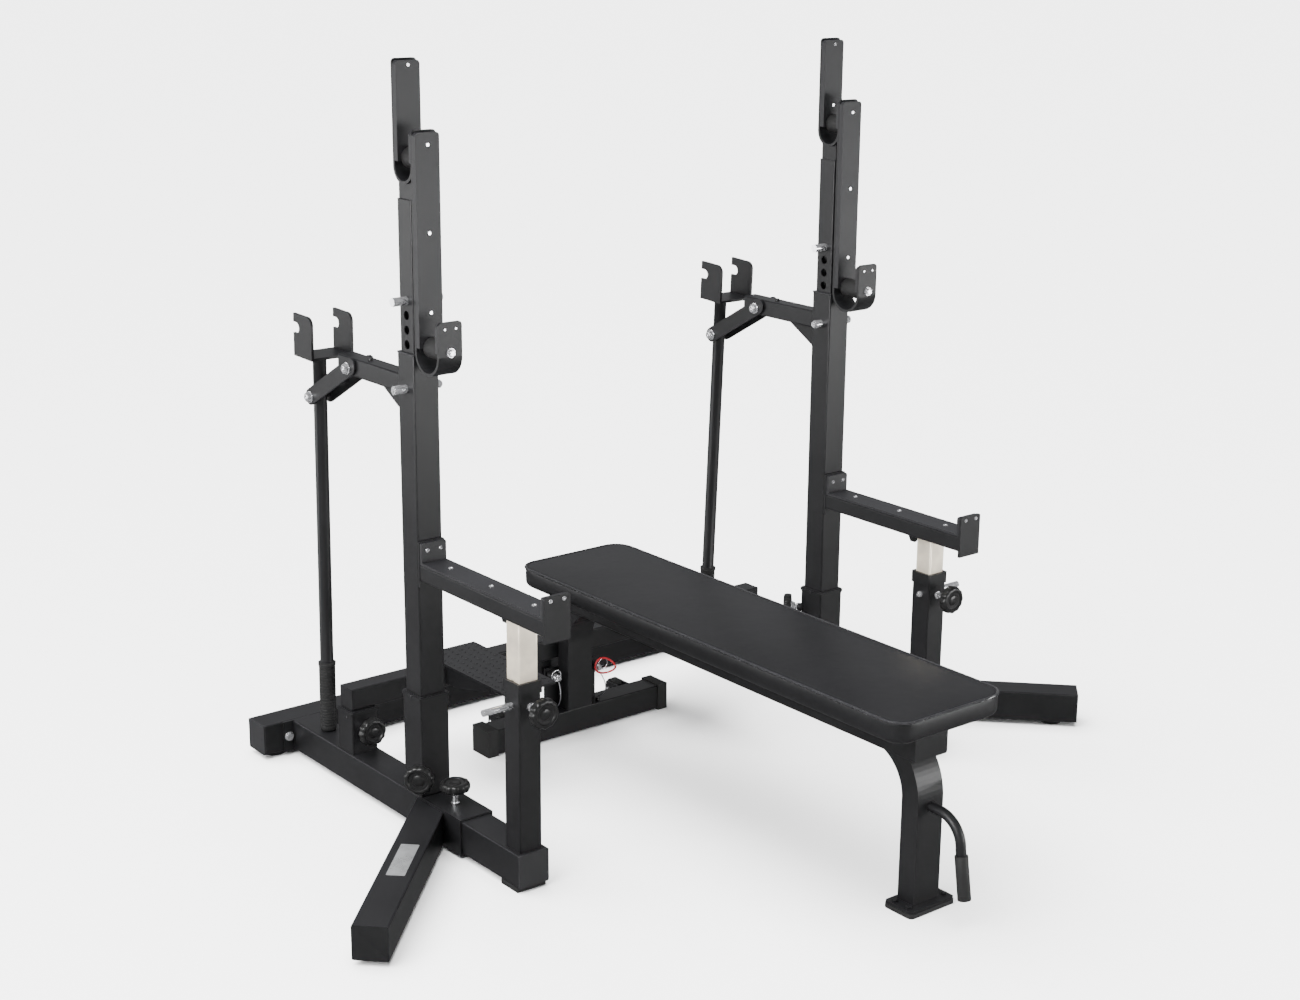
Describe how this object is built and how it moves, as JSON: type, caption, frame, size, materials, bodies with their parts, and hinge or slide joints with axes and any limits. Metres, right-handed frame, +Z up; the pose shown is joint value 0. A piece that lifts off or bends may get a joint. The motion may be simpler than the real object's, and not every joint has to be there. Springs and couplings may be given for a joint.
{
  "type": "combination bench press rack",
  "caption": "Competition press and squat rack with telescoping uprights, J hooks, jack levers, sliding safety arms, outriggers, spotter platform and a docked flat bench.",
  "frame": {"origin": "on the floor, midway between the two uprights and centred on their axes", "axes": "+X along the bench towards its foot end, +Y from the left upright to the right one, +Z up"},
  "size_m": [1.6484, 2.0478, 1.624],
  "materials": {
    "black_powder_coat": "satin",
    "zinc_plate": "satin",
    "black_plastic": "matte",
    "black_rubber": "matte",
    "bright_steel": "polished",
    "knob_plastic": "gloss",
    "black_vinyl": "satin",
    "steel_cable": "satin"
  },
  "bodies": {
    "frame": {"rear_crossmember": "black_powder_coat", "side_tubes": "black_powder_coat", "tube_sockets": "black_powder_coat", "front_posts": "black_powder_coat", "upright_left": "black_powder_coat", "upright_right": "black_powder_coat", "jack_arms": "black_powder_coat", "platform_beam": "black_powder_coat", "spotter_footplates": "black_powder_coat", "plastic_inserts": "black_plastic", "rubber_feet": "black_rubber", "frame_bolts": "bright_steel", "bench_pad": "black_vinyl", "bench_spine": "black_powder_coat", "bench_legs": "black_powder_coat", "bench_rear_foot": "black_powder_coat", "bench_rubber_parts": "black_rubber", "pin_lanyards": "steel_cable"},
    "height_left": {"height_tube_left": "black_powder_coat", "hook_strap_left": "black_powder_coat", "hook_liners_left": "black_plastic", "hook_hardware_left": "bright_steel"},
    "squat_roller_left": {"squat_roller_left": "black_rubber"},
    "bench_roller_left": {"bench_roller_left": "black_rubber"},
    "locking_pin_left": {"locking_pin_left": "bright_steel"},
    "jack_link_left": {"jack_link_left": "black_powder_coat"},
    "jack_lever_left": {"jack_lever_left": "black_powder_coat"},
    "post_pin_left": {"post_pin_left": "bright_steel"},
    "outrigger_left": {"outrigger_left": "black_powder_coat"},
    "upright_knob_left": {"upright_knob_left": "knob_plastic"},
    "inner_knob_left": {"inner_knob_left": "knob_plastic"},
    "platform_knob_left": {"platform_knob_left": "knob_plastic"},
    "outrigger_knob_left": {"outrigger_knob_left": "knob_plastic"},
    "post_knob_left": {"post_knob_left": "knob_plastic"},
    "transport_wheel_left": {"transport_wheel_left": "black_rubber"},
    "dock_pin_left": {"dock_pin_left": "bright_steel"},
    "safety_left": {"safety_arm_left": "black_powder_coat", "safety_stem_left": "zinc_plate", "safety_liners_left": "black_plastic"},
    "height_right": {"height_tube_right": "black_powder_coat", "hook_strap_right": "black_powder_coat", "hook_liners_right": "black_plastic", "hook_hardware_right": "bright_steel"},
    "squat_roller_right": {"squat_roller_right": "black_rubber"},
    "bench_roller_right": {"bench_roller_right": "black_rubber"},
    "locking_pin_right": {"locking_pin_right": "bright_steel"},
    "jack_link_right": {"jack_link_right": "black_powder_coat"},
    "jack_lever_right": {"jack_lever_right": "black_powder_coat"},
    "post_pin_right": {"post_pin_right": "bright_steel"},
    "outrigger_right": {"outrigger_right": "black_powder_coat"},
    "upright_knob_right": {"upright_knob_right": "knob_plastic"},
    "inner_knob_right": {"inner_knob_right": "knob_plastic"},
    "platform_knob_right": {"platform_knob_right": "knob_plastic"},
    "outrigger_knob_right": {"outrigger_knob_right": "knob_plastic"},
    "post_knob_right": {"post_knob_right": "knob_plastic"},
    "transport_wheel_right": {"transport_wheel_right": "black_rubber"},
    "dock_pin_right": {"dock_pin_right": "bright_steel"},
    "safety_right": {"safety_arm_right": "black_powder_coat", "safety_stem_right": "zinc_plate", "safety_liners_right": "black_plastic"}
  },
  "joints": [
    {"name": "height_slide_left", "type": "slide", "parent": "frame", "child": "height_left", "axis": [0, 0, 1], "range_m": [-0.09, 0.45]},
    {"name": "squat_roller_spin_left", "type": "hinge", "parent": "height_left", "child": "squat_roller_left", "pos_m": [0, -0.572, 1.432], "axis": [1, 0, 0], "continuous": true},
    {"name": "bench_roller_spin_left", "type": "hinge", "parent": "height_left", "child": "bench_roller_left", "pos_m": [0.08, -0.572, 1.06], "axis": [1, 0, 0], "continuous": true},
    {"name": "locking_pin_draw_left", "type": "slide", "parent": "frame", "child": "locking_pin_left", "axis": [0, -1, 0], "range_m": [0, 0.09]},
    {"name": "jack_link_swing_left", "type": "hinge", "parent": "frame", "child": "jack_link_left", "pos_m": [-0.24, -0.572, 0.968], "axis": [0, 1, 0], "range_deg": [0, 120]},
    {"name": "jack_lever_swing_left", "type": "hinge", "parent": "jack_link_left", "child": "jack_lever_left", "pos_m": [-0.402, -0.572, 0.876], "axis": [0, 1, 0], "range_deg": [-54, 0]},
    {"name": "safety_slide_left", "type": "slide", "parent": "frame", "child": "safety_left", "axis": [0, 0, 1], "range_m": [-0.045, 0.09]},
    {"name": "post_pin_draw_left", "type": "slide", "parent": "frame", "child": "post_pin_left", "axis": [0, -1, 0], "range_m": [0, 0.075]},
    {"name": "outrigger_slide_left", "type": "slide", "parent": "frame", "child": "outrigger_left", "axis": [1, 0, 0], "range_m": [0, 0.13]},
    {"name": "upright_knob_turn_left", "type": "hinge", "parent": "frame", "child": "upright_knob_left", "pos_m": [0.05, -0.622, 0.14], "axis": [0.7071, -0.7071, 0], "continuous": true},
    {"name": "inner_knob_turn_left", "type": "hinge", "parent": "frame", "child": "inner_knob_left", "pos_m": [-0.05, -0.522, 0.257], "axis": [-0.7071, 0.7071, 0], "continuous": true},
    {"name": "platform_knob_turn_left", "type": "hinge", "parent": "frame", "child": "platform_knob_left", "pos_m": [-0.24, -0.572, 0.142], "axis": [1, 0, 0], "continuous": true},
    {"name": "outrigger_knob_turn_left", "type": "hinge", "parent": "outrigger_left", "child": "outrigger_knob_left", "pos_m": [0.107, -0.572, 0.11], "axis": [0, 0, 1], "continuous": true},
    {"name": "post_knob_turn_left", "type": "hinge", "parent": "frame", "child": "post_knob_left", "pos_m": [0.4, -0.572, 0.394], "axis": [1, 0, 0], "continuous": true},
    {"name": "wheel_spin_left", "type": "hinge", "parent": "frame", "child": "transport_wheel_left", "pos_m": [-0.314, -0.176, 0.044], "axis": [0, 1, 0], "continuous": true},
    {"name": "dock_pin_draw_left", "type": "slide", "parent": "frame", "child": "dock_pin_left", "axis": [1, 0, 0], "range_m": [0, 0.035]},
    {"name": "height_slide_right", "type": "slide", "parent": "frame", "child": "height_right", "axis": [0, 0, 1], "range_m": [-0.09, 0.45]},
    {"name": "squat_roller_spin_right", "type": "hinge", "parent": "height_right", "child": "squat_roller_right", "pos_m": [0, 0.572, 1.432], "axis": [1, 0, 0], "continuous": true},
    {"name": "bench_roller_spin_right", "type": "hinge", "parent": "height_right", "child": "bench_roller_right", "pos_m": [0.08, 0.572, 1.06], "axis": [1, 0, 0], "continuous": true},
    {"name": "locking_pin_draw_right", "type": "slide", "parent": "frame", "child": "locking_pin_right", "axis": [0, 1, 0], "range_m": [0, 0.09]},
    {"name": "jack_link_swing_right", "type": "hinge", "parent": "frame", "child": "jack_link_right", "pos_m": [-0.24, 0.572, 0.968], "axis": [0, 1, 0], "range_deg": [0, 120]},
    {"name": "jack_lever_swing_right", "type": "hinge", "parent": "jack_link_right", "child": "jack_lever_right", "pos_m": [-0.402, 0.572, 0.876], "axis": [0, 1, 0], "range_deg": [-54, 0]},
    {"name": "safety_slide_right", "type": "slide", "parent": "frame", "child": "safety_right", "axis": [0, 0, 1], "range_m": [0, 0.135]},
    {"name": "post_pin_draw_right", "type": "slide", "parent": "frame", "child": "post_pin_right", "axis": [0, 1, 0], "range_m": [0, 0.075]},
    {"name": "outrigger_slide_right", "type": "slide", "parent": "frame", "child": "outrigger_right", "axis": [1, 0, 0], "range_m": [0, 0.13]},
    {"name": "upright_knob_turn_right", "type": "hinge", "parent": "frame", "child": "upright_knob_right", "pos_m": [0.05, 0.622, 0.14], "axis": [0.7071, 0.7071, 0], "continuous": true},
    {"name": "inner_knob_turn_right", "type": "hinge", "parent": "frame", "child": "inner_knob_right", "pos_m": [-0.05, 0.522, 0.257], "axis": [-0.7071, -0.7071, 0], "continuous": true},
    {"name": "platform_knob_turn_right", "type": "hinge", "parent": "frame", "child": "platform_knob_right", "pos_m": [-0.24, 0.572, 0.142], "axis": [1, 0, 0], "continuous": true},
    {"name": "outrigger_knob_turn_right", "type": "hinge", "parent": "outrigger_right", "child": "outrigger_knob_right", "pos_m": [0.107, 0.572, 0.11], "axis": [0, 0, 1], "continuous": true},
    {"name": "post_knob_turn_right", "type": "hinge", "parent": "frame", "child": "post_knob_right", "pos_m": [0.4, 0.572, 0.394], "axis": [1, 0, 0], "continuous": true},
    {"name": "wheel_spin_right", "type": "hinge", "parent": "frame", "child": "transport_wheel_right", "pos_m": [-0.314, 0.176, 0.044], "axis": [0, 1, 0], "continuous": true},
    {"name": "dock_pin_draw_right", "type": "slide", "parent": "frame", "child": "dock_pin_right", "axis": [1, 0, 0], "range_m": [0, 0.035]}
  ],
  "couplings": [
    {"joint": "jack_lever_swing_left", "follows": "jack_link_swing_left", "ratio": -0.45},
    {"joint": "jack_lever_swing_right", "follows": "jack_link_swing_right", "ratio": -0.45}
  ]
}
